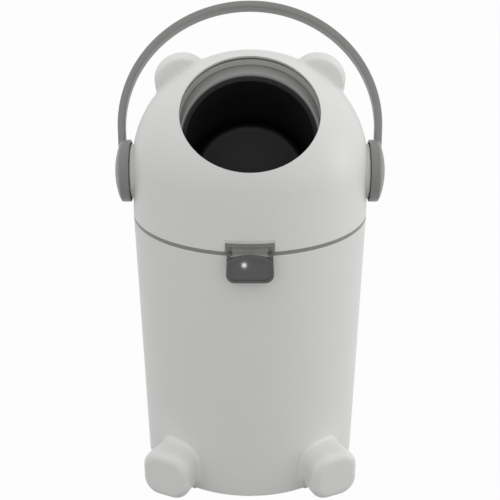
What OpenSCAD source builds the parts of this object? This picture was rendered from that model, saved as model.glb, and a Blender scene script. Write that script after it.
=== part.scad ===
// Nappy bin: a tub with two front feet, a domed lid with two ears and a slanted opening,
// and a drum inside the lid that the hoop handle flips end over end. A piston slides in the
// drum's bore and pushes what was put in down into the tub.
// Millimetres. +Z is up, the front faces -Y, and the origin is on the floor on the tub's axis.

/* [Tub] */
// Outer radius of the tub and the lid at the seam
tub_r = 140; // [136:1:146]
// How much narrower the tub's radius is at the floor
taper = 9; // [6:0.5:13]
// Height of the tub's rim
tub_h = 321; // [290:1:340]
// Wall of the tub
tub_wall = 2.6; // [2.2:0.1:3]
// Rounding of the tub's bottom edge
base_edge = 3.5; // [2.5:0.5:6]
// Thickness of the tub's floor
base_t = 3; // [2.5:0.5:4]

/* [Feet] */
// Width of a sole
foot_w = 62; // [56:1:66]
// Height of a sole
foot_h = 60; // [54:1:64]
// Width of a foot where it meets the tub
foot_neck_w = 56; // [50:1:60]
// Height of a foot where it meets the tub
foot_neck_h = 58; // [50:1:60]
// How far a sole's middle stands out from the base
foot_out = 38.5; // [34:0.5:42]
// Angle of a foot round the tub, from the front
foot_place = 37.8; // [34:0.1:42]
// Angle that a sole is turned out by
foot_yaw = 26; // [20:1:30]
// Rounding of a sole's edge
foot_round = 10; // [7:0.5:12]
// Rounding where a foot meets the tub
foot_fillet = 9; // [6:1:12]

/* [Bag ring] */
// Height of the ring's flange, the dark stripe between tub and lid
ring_h = 4.5; // [4:0.5:6]
// Height of the ring's skirt inside the tub
skirt_h = 28; // [20:1:36]

/* [Lid] */
// Wall of the dome
lid_wall = 2.8; // [2.4:0.1:3]
// Height of the lid's nearly straight side
shoulder_h = 61; // [58:1:64]
// How much flatter than a ball the dome is
dome_flat = 9.4; // [6:0.1:11]
// How much narrower the lid is at its shoulder
dome_draft = 0.9; // [0.6:0.1:1.4]
// Height of the drum's axis above the lid's edge
pivot_rise = 48; // [46:0.5:50]
// How much wider the opening's radius is than the drum's mouth
opening_gap = 2.7; // [2.2:0.1:4]
// Angle of the opening's axis above the horizontal
opening_tilt = 51; // [48:0.5:54]

/* [Ears] */
// Radius of an ear
ear_r = 32.5; // [29:0.5:34]
// Half of an ear's thickness
ear_half = 13.5; // [11:0.5:15]
// Angle of an ear from the vertical
ear_tilt = 36.5; // [34:0.5:40]
// How much nearer the drum's axis an ear's middle is than the dome's radius
ear_sink = 5.4; // [3.4:0.5:7.4]
// How far an ear's middle stands behind the drum's axis
ear_back = 12; // [8:1:16]
// Rounding of an ear's edge
ear_edge = 10.8; // [8:0.1:10.9]

/* [Drum] */
// Gap between the drum and the inside of the lid's side
drum_gap = 5.7; // [5.5:0.1:6.5]
// Wall of the drum's skin
drum_wall = 2.6; // [2.2:0.1:3]
// How much narrower the radius of a mouth is than the drum's
mouth_in = 55.9; // [55.5:0.1:58]
// Angle of the bore's axis above the horizontal, as it stands
drum_tilt = 38; // [34:1:44]
// Wall of the bore's liner
liner_wall = 2.4; // [2:0.1:2.8]
// Length of the piston
piston_l = 80; // [60:1:90]
// Depth of the dish in each end of the piston
dish_depth = 13; // [8:1:15]

/* [Handle] */
// Height of the hoop's outside above the drum
hoop_rise = 90; // [85:0.5:104]
// How far the hoop's widest places stand outside the hubs' rims
hoop_out = 6.6; // [5:0.1:12]
// Thickness of the hoop, seen from the front
hoop_t = 9.2; // [8:0.1:10]
// Width of the hoop, seen from the side
hoop_w = 17; // [14:0.5:19]
// Angle that the hoop's legs lean inwards by
leg_lean = 4; // [2:0.5:5]
// Radius of the handle's hubs
hub_r = 37; // [36:0.5:40]
// Thickness of a hub at its rim
hub_rim = 11.3; // [10:0.1:12]
// Height of a hub's domed face
hub_dome = 7.6; // [6.5:0.1:8]

/* [Latch] */
// Width of the latch flap at its top
flap_w = 51; // [48:1:54]
// Height of the latch flap
flap_h = 30; // [28:1:32]
// How far the flap stands out from the tub
flap_out = 11.5; // [11:0.1:12.5]
// Height of the latch plate on the lid
plate_h = 11; // [10:0.1:13]

/* [Fits] */
// Radial clearance of a turning fit
run_gap = 0.05; // [0.03:0.01:0.08]
// Clearance of a piece that is fixed in another
fix_gap = 0.1; // [0.05:0.01:0.15]
// Gap between faces that pass each other
face_gap = 0.3; // [0.25:0.05:0.4]

/* [Hidden] */
$fn = 96;
far = 400;
white = "#e8e8e5";
grey = "#6e6e6b";
dark = "#4b4b4a";
black = "#1d1d1e";
rubber = "#2f2f30";
steel = "#b9bcc0";

// Levels
base_r = tub_r - taper;
pad_t = 2.2;
pad_r = 9;
pad_proud = 0.8;
base_z = pad_proud;
ring_z = tub_h;
lid_z = tub_h + ring_h + 0.2;
shoulder_z = lid_z + shoulder_h;
pivot_z = lid_z + pivot_rise;

// Lid
dome_a = tub_r - dome_draft;
dome_rise = dome_a - dome_flat;
inner_r = tub_r - lid_wall;
ear_reach = dome_a - ear_sink;
ear_pocket_r = 10.5;
hinge_block_h = 18;
boss_r = 32;
boss_x = tub_r + 1.2;
boss_in_x = tub_r - 10;

// Drum
drum_r = inner_r - drum_gap;
drum_in_r = drum_r - drum_wall;
mouth_r = drum_r - mouth_in;
opening_r = mouth_r + opening_gap;
drum_flat_x = boss_in_x - 2.2;
drum_seat_r = 29.5;
lip_r = 2.5;
collar_t = 2.4;
collar_depth = 10;
lip_s = sqrt(pow(drum_r - lip_r, 2) - pow(mouth_r + lip_r, 2));
liner_r = mouth_r - fix_gap;
bore_r = liner_r - liner_wall;
liner_half = lip_s + lip_r * 0.9;
stop_s = liner_half - 8;
piston_r = bore_r - 0.8;
piston_edge = 9;
piston_wall = 4;
piston_s = stop_s - piston_l / 2;
wiper_w = 4;
wiper_s = piston_l / 2 - 14;
dish_r = piston_r - piston_edge - 2;

// Trunnions and hubs, along X
flange_r = 28;
flange_t = 3;
shaft_r = 19;
shaft_in_r = 15;
shaft_web_x = boss_x - 8;
shaft_web_t = 6;
bush_t = 3;
trunnion_screw_ring = 23.5;
trunnion_screw_sink = 1.2;
trunnion_screw_r = 1.3;
trunnion_screw_l = 6.2;
trunnion_head_r = 2.4;
handle_screw_r = 2;
handle_screw_l = 14;
handle_head_r = 5;
bush_flange_r = 25;
hub_x = boss_x + 0.4;
hub_web_x = hub_x + 3.9;
hub_web_t = 3;
hub_rim_x = hub_x + hub_rim;
hub_sphere = (hub_r * hub_r + hub_dome * hub_dome) / (2 * hub_dome);
cap_r = 24;
cap_x = hub_rim_x - 0.9;
handle_half = hub_rim_x + hoop_out;
handle_h = drum_r + hoop_rise;
hub_wall = 3;
hub_well_r = 8;
key_w = 8;
key_in = 1.4;
stop_ring_r = 27;
stop_pin_r = 3;
back_stop = opening_tilt - drum_tilt;

// Hinge of the lid
knuckle_r = 5.5;
pin_r = 2;
hinge_y = tub_r + flap_out - knuckle_r;
hinge_z = tub_h + 3;
knuckle_half = 17.4;
knuckle_end = 34;
knuckle_gap = 0.6;

// Latch
latch_pin_r = 1.25;
prong_w = 5;
barrel_half = flap_w / 2 - prong_w - 0.6;
latch_y = -(tub_r + flap_out - 5.9);
latch_z = tub_h + 2.5;
flap_y = -(tub_r + flap_out);
flap_t = 2.2;
flap_top = tub_h + 3;
flap_low = flap_top - flap_h;
flap_flare = 0.8;
flap_corner = 9.5;
flap_arch_r = 110;
prong_r = 4.2;
barrel_r = 2.8;
catch_out = 3.2;
catch_z = flap_low + 11;
catch_t = 3;
tongue_w = 16;

// Cradle
cradle_gap = 1.8;
cradle_in_r = drum_r + cradle_gap;
cradle_wall = 2.4;
cradle_top = pivot_z - 9;
flange_z = lid_z + 1;
cradle_flange_t = 2.6;
screw_ring_r = inner_r - 3;
screw_boss_r = 3.3;
screw_boss_h = 7.5;
screw_r = 1.1;
screw_l = cradle_flange_t + screw_boss_h - 1.5;
seal_r = opening_r + 0.8;
seal_w = 4.6;
seal_low_r = opening_r + 3;

// How far a hollow rounding ends under the surface that it runs onto
sink = 0.7;

// Points of a round stretch about a centre, from one angle to another
function arc(c, r, a0, a1, n = 12) =
    [for (i = [0:n]) c + r * [cos(a0 + (a1 - a0) * i / n), sin(a0 + (a1 - a0) * i / n)]];

// Radius of the tub's outside at a height
function tub_at(z) = base_r + (tub_r - base_r) * max(z, 0) / tub_h;

// One step round a closed curve between a circle and a square, for an exponent n
function bulge(t, n) = [
    sign(cos(t)) * pow(abs(cos(t)), 2 / n),
    sign(sin(t)) * pow(abs(sin(t)), 2 / n)
];

// Outward reach of a hollow rounding of radius r, at a height d over the surface it runs onto
function flare(d, r) = d >= r ? 0 : r - sqrt(r * r - pow(r - max(d, 0), 2));

// A closed skin over rings of equal length, between a point at each end
module skin(rings, first, last) {
    n = len(rings[0]);
    m = len(rings);
    points = concat([first], [for (ring = rings) each ring], [last]);
    faces = concat(
        [for (i = [0:n - 1]) [0, 1 + i, 1 + (i + 1) % n]],
        [for (j = [0:m - 2], i = [0:n - 1])
            [1 + j * n + i, 1 + (j + 1) * n + i, 1 + (j + 1) * n + (i + 1) % n]],
        [for (j = [0:m - 2], i = [0:n - 1])
            [1 + j * n + i, 1 + (j + 1) * n + (i + 1) % n, 1 + j * n + (i + 1) % n]],
        [for (i = [0:n - 1]) [m * n + 1, 1 + (m - 1) * n + (i + 1) % n, 1 + (m - 1) * n + i]]
    );
    polyhedron(points, faces);
}

// A cylinder along +X from x0 to x1
module rod_x(r, x0, x1) {
    translate([x0, 0, 0]) rotate([0, 90, 0]) cylinder(r = r, h = x1 - x0);
}

// A ring along +X from x0 to x1
module ring_x(r, r_in, x0, x1) {
    difference() {
        rod_x(r, x0, x1);
        rod_x(r_in, x0 - 1, x1 + 1);
    }
}

// A pan-head screw along +Z with its head's seat at 0 and the head above it
module screw(r, length, head_r, head_h) {
    difference() {
        union() {
            translate([0, 0, -length]) cylinder(r = r, h = length);
            cylinder(r = head_r, h = head_h);
        }
        for (a = [0, 90])
            rotate([0, 0, a]) translate([-head_r * 0.6, -head_r * 0.11, head_h * 0.45])
                cube([head_r * 1.2, head_r * 0.22, head_h]);
    }
}

// Places its children at the drum's axis, turned as the drum stands
module at_drum() {
    translate([0, 0, pivot_z]) rotate([-drum_tilt, 0, 0]) children();
}

// Places its children on the other side too
module both_sides() {
    children();
    mirror([1, 0, 0]) children();
}

// ---- Tub ----

module tub_solid(grow = 0) {
    rotate_extrude()
        polygon(concat(
            [[0, base_z], [base_r - base_edge + grow, base_z]],
            arc([base_r - base_edge + grow, base_z + base_edge], base_edge, -90, 0),
            [[tub_r + grow, tub_h], [0, tub_h]]
        ));
}

module tub_hollow() {
    inner = base_r - tub_wall - base_edge;
    rotate_extrude()
        polygon(concat(
            [[0, base_z + 2 + base_t], [inner, base_z + 2 + base_t]],
            arc([inner, base_z + 2 + base_t + base_edge], base_edge, -90, 0),
            [[tub_r - tub_wall, tub_h], [tub_r - tub_wall, tub_h + 1], [0, tub_h + 1]]
        ));
}

module grip_pad_places() {
    for (a = [45:90:315]) rotate([0, 0, a]) translate([base_r - 19, 0, 0]) children();
}

// Lines a screw up with the tub's wall, pointing outwards from its seat inside
foot_screw_heights = [18, 35];
foot_screw_r = 1.85;
foot_screw_l = 15;
foot_screw_seat = 1.6;
foot_screw_pad_r = 6;
module foot_screw_places(side) {
    a = -90 + side * (foot_place + 3.5);
    for (z = foot_screw_heights)
        rotate([0, 0, a]) translate([tub_at(z) - tub_wall - foot_screw_seat, 0, z])
            rotate([0, -90, 0]) children();
}

module tub_hinge() {
    for (side = [-1, 1])
        translate([side > 0 ? knuckle_half + knuckle_gap : -knuckle_end, 0, 0]) {
            translate([0, hinge_y, hinge_z])
                rod_x(knuckle_r, 0, knuckle_end - knuckle_half - knuckle_gap);
            rotate([90, 0, 90])
                linear_extrude(knuckle_end - knuckle_half - knuckle_gap)
                    polygon([
                        [tub_r - 5, tub_h - 22], [tub_r - 0.6, tub_h - 22],
                        [hinge_y + knuckle_r, hinge_z - 2], [hinge_y + knuckle_r, hinge_z],
                        [tub_r - 5, hinge_z]
                    ]);
        }
}

module tub_catch() {
    rotate([90, 0, 90]) translate([0, 0, -tongue_w / 2 - 2])
        linear_extrude(tongue_w + 4)
            polygon([
                [-tub_r + 2, catch_z], [-tub_r - catch_out, catch_z],
                [-tub_r - catch_out, catch_z + 1], [-tub_r + 2, catch_z + catch_t + 2]
            ]);
}

module tub() {
    color(white) difference() {
        union() {
            tub_solid();
            tub_hinge();
            tub_catch();
        }
        difference() {
            tub_hollow();
            for (side = [-1, 1]) foot_screw_places(side)
                translate([0, 0, -tub_wall - 3]) cylinder(r = foot_screw_pad_r, h = tub_wall + 3);
        }
        // The ring and the lid turn past the top of the hinge's lugs
        translate([0, 0, tub_h]) cylinder(r = tub_r + face_gap, h = far);
        translate([0, 0, base_z - 1]) cylinder(r = base_r - 32, h = 3);
        translate([0, hinge_y, hinge_z]) rod_x(pin_r + 0.02, -far, far);
        grip_pad_places() translate([0, 0, base_z - 1]) cylinder(r = pad_r + fix_gap, h = pad_t + 0.3);
        for (side = [-1, 1]) foot_screw_places(side)
            translate([0, 0, -foot_screw_l - 5]) cylinder(r = foot_screw_r + 0.25, h = foot_screw_l + 5);
    }
}

module grip_pads() {
    color(rubber) grip_pad_places() cylinder(r = pad_r, h = pad_t);
}

// ---- Feet ----

foot_n = 40;
foot_steps = 6;
foot_wall = 2.8;
sole_c = (base_r + foot_out) * [-sin(foot_place), -cos(foot_place)];
foot_in = [sin(foot_yaw), cos(foot_yaw)];
foot_across = [-cos(foot_yaw), sin(foot_yaw)];

// Length of a foot from its sole to the tub, for a place on the sole
function foot_reach(p, z) =
    let (b = p * foot_in) -b - sqrt(max(b * b - p * p + pow(tub_at(z), 2), 0));

// A point of the foot: x and z on the sole, and t inwards from it
function foot_point(x, z, t) =
    let (p = sole_c + x * foot_across + t * foot_in) [p[0], p[1], max(z, base_z)];

// Ring at a depth t from the sole, drawn in by the sole's rounding
function foot_front_ring(t, wall) =
    let (r = foot_round, in = t >= r ? 0 : r - sqrt(max(r * r - pow(r - t, 2), 0)))
    [for (i = [0:foot_n - 1])
        let (
            s = bulge(360 * i / foot_n, 3),
            x = (foot_w / 2 - in - wall) * s[0],
            z = base_z + foot_h / 2 + (foot_h / 2 - in - wall) * s[1]
        ) foot_point(x, z, t + wall)];

// Ring at a height d over the rounding's foot, which lies just under the tub's surface
function foot_back_ring(d, wall) =
    [for (i = [0:foot_n - 1])
        let (
            s = bulge(360 * i / foot_n, 3),
            grow = wall > 0 ? 0 : flare(d, foot_fillet),
            x = (foot_neck_w / 2 + grow - wall) * s[0],
            z = base_z + foot_neck_h / 2 + (foot_neck_h / 2 + grow - wall) * s[1],
            p = sole_c + x * foot_across
        ) foot_point(x, z, foot_reach(p, max(z, 0)) + sink - d)];

module foot_skin(wall) {
    skin(
        concat(
            [for (k = [0:foot_steps]) foot_front_ring(foot_round * (1 - cos(90 * k / foot_steps)), wall)],
            [for (k = [0:foot_steps]) foot_back_ring(foot_fillet * (1 - sin(90 * k / foot_steps)), wall)],
            [foot_back_ring(-3, wall)]
        ),
        foot_point(0, base_z + foot_h / 2, wall),
        foot_point(0, base_z + foot_h / 2, foot_reach(sole_c, foot_h / 2) + 18)
    );
}

module foot(side) {
    difference() {
        mirror([side > 0 ? 1 : 0, 0, 0]) difference() {
            foot_skin(0);
            difference() {
                foot_skin(foot_wall);
                foot_screw_places(-1) translate([0, 0, -4 * foot_screw_l])
                    cylinder(r = foot_screw_r + foot_wall, h = 4 * foot_screw_l);
            }
        }
        tub_solid(fix_gap / 2);
        cylinder(r = base_r - 0.5, h = base_edge + 2);
        foot_screw_places(side)
            translate([0, 0, -foot_screw_l - 1]) cylinder(r = foot_screw_r + 0.05, h = foot_screw_l + 1);
    }
}

module foot_left() {
    color(white) foot(-1);
}

module foot_right() {
    color(white) foot(1);
}

module foot_screws() {
    color(steel) for (side = [-1, 1]) foot_screw_places(side)
        screw(r = foot_screw_r, length = foot_screw_l, head_r = 4, head_h = 2.6);
}

// ---- Bag ring and hinge pin ----

module bag_ring() {
    skirt_out = tub_r - tub_wall - face_gap - 0.8;
    color(grey) rotate_extrude()
        polygon([
            [skirt_out - 2.4, ring_z - skirt_h], [skirt_out - 0.8, ring_z - skirt_h],
            [skirt_out, ring_z - 6], [skirt_out, ring_z], [tub_r, ring_z],
            [tub_r, ring_z + ring_h], [tub_r - 10.5, ring_z + ring_h],
            [skirt_out - 4.4, ring_z + ring_h - 2.4], [skirt_out - 2.4, ring_z - 6]
        ]);
}

module hinge_pin() {
    color(steel) translate([0, hinge_y, hinge_z]) {
        rod_x(pin_r, -knuckle_end, knuckle_end + 0.6);
        translate([knuckle_end, 0, 0]) rod_x(pin_r * 1.7, 0.05, 1.6);
    }
}

// ---- Lid ----

// Solid of revolution of the lid's outside, or of its inside with in = lid_wall
module dome_solid(in = 0, low = 0) {
    a = dome_a - in;
    b = dome_rise - in;
    rotate_extrude()
        polygon(concat(
            [[0, lid_z - low], [tub_r - in, lid_z - low], [tub_r - in, lid_z]],
            [for (t = [0:3:90]) [a * cos(t), shoulder_z + b * sin(t)]]
        ));
}

// A round ear with soft edges, half sunk in the dome
module ear() {
    flat = ear_half - ear_edge;
    translate([0, ear_back, pivot_z]) rotate([0, ear_tilt, 0]) translate([0, 0, ear_reach])
        rotate([90, 0, 0]) rotate_extrude() {
            translate([0, -ear_half]) square([ear_r - ear_edge, 2 * ear_half]);
            translate([0, -flat]) square([ear_r, 2 * flat]);
            for (side = [-1, 1]) translate([ear_r - ear_edge, side * flat]) circle(r = ear_edge);
        }
}

// Hollow inside an ear, open to the inside of the dome
module ear_pocket() {
    translate([0, ear_back, pivot_z]) rotate([0, ear_tilt, 0]) {
        translate([0, 0, ear_reach + ear_half - 3.5]) sphere(r = ear_pocket_r);
        translate([0, 0, ear_reach - ear_half + 1.5]) cylinder(r = ear_pocket_r, h = 2 * ear_half - 5);
    }
}

module lid_hinge() {
    translate([0, hinge_y, hinge_z]) rod_x(knuckle_r, -knuckle_half, knuckle_half);
    rotate([90, 0, 90]) translate([0, 0, -knuckle_half])
        linear_extrude(2 * knuckle_half)
            polygon([
                [tub_r - lid_wall + 0.2, lid_z], [hinge_y, lid_z],
                [hinge_y + knuckle_r * 0.9, hinge_z + 2.4],
                [tub_r - 0.2, lid_z + hinge_block_h], [tub_r - lid_wall + 0.2, lid_z + hinge_block_h]
            ]);
}

// The ring-shaped groove in a side boss that the handle's stop pin runs in
module stop_groove() {
    slack = asin(stop_pin_r / stop_ring_r) + 0.7;
    translate([0, 0, pivot_z])
        rotate([-drum_tilt - back_stop - slack, 0, 0]) rotate([0, 90, 0])
            rotate_extrude(angle = 180 + 2 * slack)
                translate([stop_ring_r - stop_pin_r - face_gap, boss_x - 3])
                    square([2 * (stop_pin_r + face_gap), 4]);
}

module cradle_screw_places() {
    for (a = [30:60:330]) rotate([0, 0, a]) translate([screw_ring_r, 0, flange_z]) children();
}

module lid_dome() {
    color(white) difference() {
        union() {
            difference() {
                union() {
                    dome_solid();
                    both_sides() ear();
                }
                dome_solid(lid_wall, 1);
                both_sides() ear_pocket();
            }
            translate([0, 0, pivot_z]) both_sides() rod_x(boss_r, boss_in_x, boss_x);
            lid_hinge();
            cradle_screw_places() translate([0, 0, cradle_flange_t + fix_gap])
                cylinder(r = screw_boss_r, h = screw_boss_h);
        }
        translate([0, 0, pivot_z]) rotate([90 - opening_tilt, 0, 0])
            cylinder(r = opening_r, h = far);
        translate([0, 0, pivot_z]) rod_x(shaft_r + bush_t + 0.02, -far, far);
        both_sides() stop_groove();
        translate([0, hinge_y, hinge_z]) rod_x(pin_r + run_gap, -far, far);
        cradle_screw_places() cylinder(r = screw_r + 0.05, h = screw_l + 0.6);
        // Seat of the latch plate
        latch_seat(plate_h + 0.8, flap_w / 2 + 1.9);
        // The tub's hinge lugs stay clear of the lid's edge
        for (side = [-1, 1])
            translate([side > 0 ? knuckle_half + 0.2 : -knuckle_end - 1, hinge_y, hinge_z])
                rod_x(knuckle_r + face_gap, 0, knuckle_end - knuckle_half + 0.8);
    }
}

// The shallow seat in the lid's front, or the plate in it
module latch_seat(h, half_w) {
    difference() {
        translate([-half_w, -tub_r - 9, lid_z - 1]) cube([2 * half_w, 30, h + 1]);
        translate([0, 0, lid_z - 2]) cylinder(r = tub_r - 1.2, h = h + 4);
    }
}

module lid_cradle() {
    outer = cradle_in_r + cradle_wall;
    color(grey) difference() {
        union() {
            difference() {
                translate([0, 0, pivot_z]) sphere(r = outer);
                translate([0, 0, cradle_top]) cylinder(r = far, h = far);
                translate([0, 0, pivot_z]) rotate([-90 - opening_tilt, 0, 0])
                    cylinder(r = opening_r, h = far);
            }
            translate([0, 0, flange_z])
                cylinder(r = inner_r - face_gap, h = cradle_flange_t);
        }
        translate([0, 0, pivot_z]) sphere(r = cradle_in_r);
        translate([0, 0, pivot_z]) rod_x(boss_r + 1.5, -far, far);
        cradle_screw_places() translate([0, 0, -1]) cylinder(r = screw_r + 0.15, h = 6);
        translate([0, 0, flange_z - 1]) seal_groove(1 + 1.4);
    }
}

// Groove for the lid's seal in the underside of the cradle's flange
seal_in_r = inner_r - 8.2;
seal_t = 2.4;
module seal_groove(h) {
    difference() {
        cylinder(r = seal_in_r + seal_t + fix_gap, h = h);
        translate([0, 0, -1]) cylinder(r = seal_in_r - fix_gap, h = h + 2);
    }
}

module lid_seal() {
    low = ring_z + ring_h + face_gap;
    color(rubber) rotate_extrude()
        polygon([
            [seal_in_r, flange_z + 1.3], [seal_in_r + seal_t, flange_z + 1.3],
            [seal_in_r + seal_t, low + 0.6], [seal_in_r + seal_t * 0.7, low],
            [seal_in_r + seal_t * 0.3, low], [seal_in_r, low + 0.6]
        ]);
}

module mouth_seal() {
    color(rubber) intersection() {
        dome_solid(lid_wall + 0.05, 0);
        translate([0, 0, pivot_z]) difference() {
            rotate([90 - opening_tilt, 0, 0]) difference() {
                cylinder(r = seal_r + seal_w, h = drum_r);
                translate([0, 0, -1]) cylinder(r = seal_r, h = far);
            }
            sphere(r = drum_r + face_gap);
        }
    }
}

module drop_seal() {
    color(rubber) translate([0, 0, pivot_z]) difference() {
        rotate([-90 - opening_tilt, 0, 0]) intersection() {
            sphere(r = cradle_in_r - 0.02);
            difference() {
                cylinder(r = seal_low_r + seal_w, h = drum_r + 5);
                translate([0, 0, -1]) cylinder(r = seal_low_r, h = far);
            }
        }
        sphere(r = drum_r + face_gap);
    }
}

module bush() {
    translate([0, 0, pivot_z]) {
        ring_x(shaft_r + bush_t, shaft_r + run_gap, boss_in_x, boss_x - 0.1);
        ring_x(bush_flange_r, shaft_r + run_gap, boss_in_x - 1.6, boss_in_x);
    }
}

module bush_left() {
    color(dark) mirror([1, 0, 0]) bush();
}

module bush_right() {
    color(dark) bush();
}

module cradle_screws() {
    color(steel) cradle_screw_places()
        rotate([180, 0, 0]) screw(r = screw_r, length = screw_l, head_r = 2 * screw_r, head_h = 1);
}

// ---- Latch ----

module latch_plate() {
    half_w = flap_w / 2 + 1.5;
    color(grey) difference() {
        union() {
            intersection() {
                latch_seat(plate_h + 0.2, half_w);
                translate([0, 0, lid_z]) cylinder(r1 = tub_r + 2.4, r2 = tub_r + 3.4, h = plate_h);
            }
            translate([0, latch_y, latch_z]) rod_x(barrel_r, -barrel_half, barrel_half);
            translate([-barrel_half, latch_y, latch_z])
                cube([2 * barrel_half, 4.5, lid_z + 4 - latch_z]);
        }
        translate([0, 0, lid_z - 3]) cylinder(r = tub_r - 1.2 + fix_gap, h = plate_h + 6);
        translate([0, latch_y, latch_z]) {
            rod_x(latch_pin_r + 0.02, -far, far);
            for (side = [-1, 1])
                translate([side * (barrel_half + prong_w), 0, 0])
                    rod_x(prong_r + 0.5, -prong_w, prong_w);
        }
    }
}

module latch_pin() {
    color(steel) translate([0, latch_y, latch_z])
        rod_x(latch_pin_r, -flap_w / 2 + 1.4, flap_w / 2 - 1.4);
}

// Outline of the flap in X and Z, drawn in by some distance
module flap_outline(in) {
    low = flap_w / 2 + flap_flare - in;
    top = flap_w / 2 - in;
    r = flap_corner - in;
    polygon(concat(
        arc([low - r, flap_low + in + r], r, 0, -90, 8),
        arc([-low + r, flap_low + in + r], r, -90, -180, 8),
        [[-top, flap_top - 3]],
        arc([0, flap_top - 3 - flap_arch_r], flap_arch_r + 2, 90 + 9, 90 - 9, 10),
        [[top, flap_top - 3]]
    ));
}

module latch_flap() {
    color(dark) difference() {
        union() {
            difference() {
                translate([0, flap_y, 0]) rotate([90, 0, 0]) translate([0, 0, -flap_out + 1])
                    linear_extrude(flap_out - 1) flap_outline(0);
                // Hollow behind the face
                translate([0, flap_y + flap_t, 0]) rotate([90, 0, 0]) translate([0, 0, -far])
                    linear_extrude(far) flap_outline(flap_t);
                // Room for the barrel on the lid
                translate([0, latch_y, latch_z])
                    rod_x(barrel_r + 0.5, -barrel_half - 0.3, barrel_half + 0.3);
                // Shallow panel in the face
                translate([0, flap_y + 0.7, 0]) rotate([90, 0, 0])
                    linear_extrude(5) intersection() {
                        flap_outline(3.2);
                        translate([-far / 2, 0]) square([far, flap_top - 2.2]);
                    }
            }
            for (side = [-1, 1])
                translate([side > 0 ? flap_w / 2 - prong_w : -flap_w / 2, latch_y, latch_z]) {
                    rod_x(prong_r, 0, prong_w);
                    translate([0, -prong_r, -8]) cube([prong_w, 2 * prong_r, 8]);
                }
        }
        translate([0, 0, flap_low - 10]) cylinder(r = tub_r + 0.6, h = flap_h + 30);
        translate([0, latch_y, latch_z]) rod_x(latch_pin_r + run_gap, -flap_w / 2 + 1.2, flap_w / 2 - 1.2);
    }
}

// The springy tongue inside the flap, hooked under the tub's catch
module latch_tongue() {
    y = flap_y + flap_t;
    hook_z = catch_z - 0.3;
    color(dark) rotate([90, 0, 90]) translate([0, 0, -tongue_w / 2])
        linear_extrude(tongue_w)
            polygon([
                [y, latch_z - 5.5], [y, latch_z - 11], [y + 1.4, latch_z - 12.5],
                [y + 1.4, hook_z - 4], [-tub_r - 1.6, hook_z - 2.4], [-tub_r - 0.7, hook_z - 0.8],
                [-tub_r - 0.7, hook_z], [y + 2.8, hook_z], [y + 2.8, latch_z - 5.5]
            ]);
}

// ---- Drum ----

// One half of the drum's skin, its mouth along +Z
module drum_half_skin() {
    rim = (drum_r + 4) / (drum_r - lip_r) * [mouth_r + lip_r, lip_s];
    rotate_extrude() {
        difference() {
            union() {
                intersection() {
                    difference() {
                        circle(r = drum_r);
                        circle(r = drum_in_r);
                    }
                    translate([0, 0.05]) square(far);
                }
                intersection() {
                    circle(r = drum_r);
                    translate([mouth_r, lip_s - collar_depth])
                        square([collar_t, collar_depth + 4]);
                }
            }
            square([mouth_r, far]);
            polygon([[0, lip_s], [mouth_r + lip_r, lip_s], rim, [0, rim[1] + 20]]);
        }
        translate([mouth_r + lip_r, lip_s]) circle(r = lip_r);
    }
}

module trunnion_screw_places() {
    for (a = [45:90:315])
        rotate([a, 0, 0]) translate([drum_flat_x, trunnion_screw_ring, 0]) rotate([0, 90, 0]) children();
}

module drum_half(turn) {
    difference() {
        union() {
            rotate([turn, 0, 0]) drum_half_skin();
            intersection() {
                both_sides() rod_x(drum_seat_r, drum_flat_x - 9, drum_flat_x + 2);
                rotate([turn, 0, 0]) translate([-far / 2, -far / 2, 0.05]) cube([far, far, far]);
            }
        }
        for (side = [-1, 1]) translate([side * (drum_flat_x + far / 2), 0, 0]) cube(far, center = true);
        both_sides() {
            rod_x(flange_r + fix_gap, drum_flat_x - flange_t, far);
            rod_x(shaft_in_r, 0, far);
            trunnion_screw_places() translate([0, 0, -trunnion_screw_sink - trunnion_screw_l - 0.6])
                cylinder(r = trunnion_screw_r + 0.05, h = trunnion_screw_l);
        }
    }
}

module drum_front() {
    color(grey) at_drum() {
        drum_half(90);
        // Tongue that seats inside the rear half
        difference() {
            rotate([90, 0, 0]) difference() {
                union() {
                    translate([0, 0, -3.5]) cylinder(r = drum_in_r - fix_gap, h = 7);
                    translate([0, 0, 0.5]) cylinder(r = drum_in_r + 0.6, h = 3);
                }
                translate([0, 0, -4]) cylinder(r = drum_in_r - 1.8, h = 9);
            }
            rod_x(32, -far, far);
        }
    }
}

module drum_rear() {
    color(grey) at_drum() drum_half(-90);
}

module bore_liner() {
    half = [
        [liner_r, liner_half], [liner_r - 0.6, liner_half], [bore_r - 1.6, liner_half - 4.4],
        [bore_r - 1.6, liner_half - 6], [bore_r, stop_s]
    ];
    color(black) at_drum() rotate([90, 0, 0]) rotate_extrude()
        polygon(concat(half, [for (i = [4:-1:0]) [half[i][0], -half[i][1]]]));
}

module trunnion() {
    difference() {
        union() {
            rod_x(flange_r, drum_flat_x - flange_t, drum_flat_x);
            rod_x(shaft_r, drum_flat_x - 1, hub_web_x - 0.2);
        }
        rod_x(shaft_in_r, drum_flat_x - 2 * flange_t, shaft_web_x);
        rod_x(shaft_in_r, shaft_web_x + shaft_web_t, far);
        rod_x(handle_screw_r + 0.02, 0, far);
        translate([boss_x - key_in, -far, -key_w / 2]) cube([far, 2 * far, key_w]);
        trunnion_screw_places() {
            translate([0, 0, -flange_t - 1]) cylinder(r = trunnion_screw_r + 0.2, h = flange_t + 2);
            translate([0, 0, -trunnion_screw_sink]) cylinder(r = trunnion_head_r + 0.2, h = flange_t);
        }
    }
}

module trunnion_left() {
    color(dark) at_drum() mirror([1, 0, 0]) trunnion();
}

module trunnion_right() {
    color(dark) at_drum() trunnion();
}

module trunnion_screws() {
    color(steel) at_drum() both_sides() trunnion_screw_places()
        translate([0, 0, -trunnion_screw_sink])
            screw(r = trunnion_screw_r, length = trunnion_screw_l, head_r = trunnion_head_r,
                head_h = trunnion_screw_sink - 0.1);
}

// ---- Handle ----

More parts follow.
